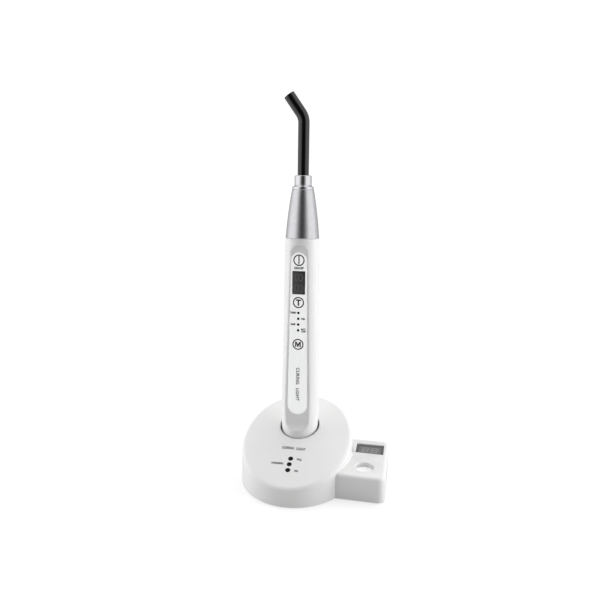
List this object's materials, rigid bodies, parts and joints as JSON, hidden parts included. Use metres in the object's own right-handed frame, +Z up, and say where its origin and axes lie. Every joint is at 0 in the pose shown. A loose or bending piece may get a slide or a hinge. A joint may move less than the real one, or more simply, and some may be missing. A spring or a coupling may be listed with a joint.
{
  "type": "dental curing light with charging base and light meter",
  "caption": "Pen-shaped dental curing light with a bent black light guide, standing in an oval charging base that has a light meter box on its right side.",
  "frame": {"origin": "centre of the oval charging base, on the surface that it stands on", "axes": "+Z up along the handpiece, -Y towards the front where the keypad and the indicator lights face, +X to the side of the light meter"},
  "size_m": [0.1177, 0.1036, 0.3032],
  "materials": {
    "guide_black": "gloss black sleeve",
    "fibre_glass": "polished optical fibre rod",
    "chrome": "polished",
    "satin_aluminium": "fine bead-blasted satin, clear anodised",
    "seal_rubber": "soft black",
    "clear_lens": "clear moulded lens",
    "emitter": "phosphor-yellow package",
    "circuit_board": "green solder mask",
    "white_shell": "semi-gloss white moulded plastic",
    "label_film": "satin printed film",
    "print_black": "matt black print",
    "smoked_window": "smoked gloss window",
    "indicator_black": "dark translucent lens",
    "display_body": "dark moulded body",
    "switch_metal": "stamped plate",
    "buzzer_black": "moulded black",
    "cell_wrap": "shrink film",
    "contact_brass": "gold-plated",
    "holder_grey": "moulded grey",
    "indicator_led": "clear epoxy",
    "spring_steel": "drawn wire",
    "jack_black": "moulded black",
    "plate_white": "textured white moulding",
    "screw_steel": "zinc plated",
    "foot_rubber": "matt non-slip",
    "meter_glass": "smoked display pane",
    "diffuser": "opal translucent disc",
    "diode": "dark filter window",
    "ribbon": "flat grey ribbon"
  },
  "bodies": {
    "base": {"base_cover": "white_shell", "socket_cup": "white_shell", "indicator_lenses": "indicator_black", "indicator_leds": "indicator_led", "base_board": "circuit_board", "pin_barrels": "contact_brass", "pin_springs": "spring_steel", "power_jack": "jack_black", "base_bottom": "plate_white", "base_screws": "screw_steel", "foot_ring": "foot_rubber", "meter_shell": "white_shell", "meter_window": "meter_glass", "meter_display": "display_body", "sensor_diffuser": "diffuser", "photodiode": "diode", "meter_board": "circuit_board", "meter_cable": "ribbon", "meter_bottom": "plate_white", "meter_screws": "screw_steel", "meter_feet": "foot_rubber"},
    "contact_pins": {"charge_pins": "contact_brass"},
    "handpiece": {"body_shell": "white_shell", "keypad_label": "label_film", "display_window": "smoked_window", "display_module": "display_body", "mode_leds": "indicator_black", "main_board": "circuit_board", "tact_switches": "switch_metal", "buzzer": "buzzer_black", "battery_cell": "cell_wrap", "battery_contacts": "contact_brass", "battery_holder": "holder_grey", "tail_cap": "white_shell", "charge_contacts": "contact_brass", "head_cone": "satin_aluminium", "nose_ring": "chrome", "heat_sink": "satin_aluminium", "led_board": "circuit_board", "led_emitter": "emitter", "led_lens": "clear_lens"},
    "power_key": {"power_button": "label_film"},
    "time_key": {"time_button": "label_film"},
    "mode_key": {"mode_button": "label_film"},
    "guide_seal": {"guide_o_ring": "seal_rubber"},
    "guide": {"guide_ferrule": "chrome", "guide_sleeve": "guide_black", "guide_core": "fibre_glass"}
  },
  "joints": [
    {"name": "handpiece_lift", "type": "slide", "parent": "base", "child": "handpiece", "axis": [0, 0, 1], "range_m": [0, 0.06]},
    {"name": "contact_press", "type": "slide", "parent": "base", "child": "contact_pins", "axis": [0, 0, -1], "range_m": [0, 0.0008], "deforming": ["pin_springs"]},
    {"name": "power_press", "type": "slide", "parent": "handpiece", "child": "power_key", "axis": [0, 1, 0], "range_m": [0, 0.0004]},
    {"name": "time_press", "type": "slide", "parent": "handpiece", "child": "time_key", "axis": [0, 1, 0], "range_m": [0, 0.0004]},
    {"name": "mode_press", "type": "slide", "parent": "handpiece", "child": "mode_key", "axis": [0, 1, 0], "range_m": [0, 0.0004]},
    {"name": "guide_pull", "type": "slide", "parent": "handpiece", "child": "guide_seal", "axis": [0, 0, 1], "range_m": [0, 0.018]},
    {"name": "guide_turn", "type": "hinge", "parent": "guide_seal", "child": "guide", "pos_m": [0, 0.008, 0.2282], "axis": [0, 0, 1], "continuous": true}
  ]
}
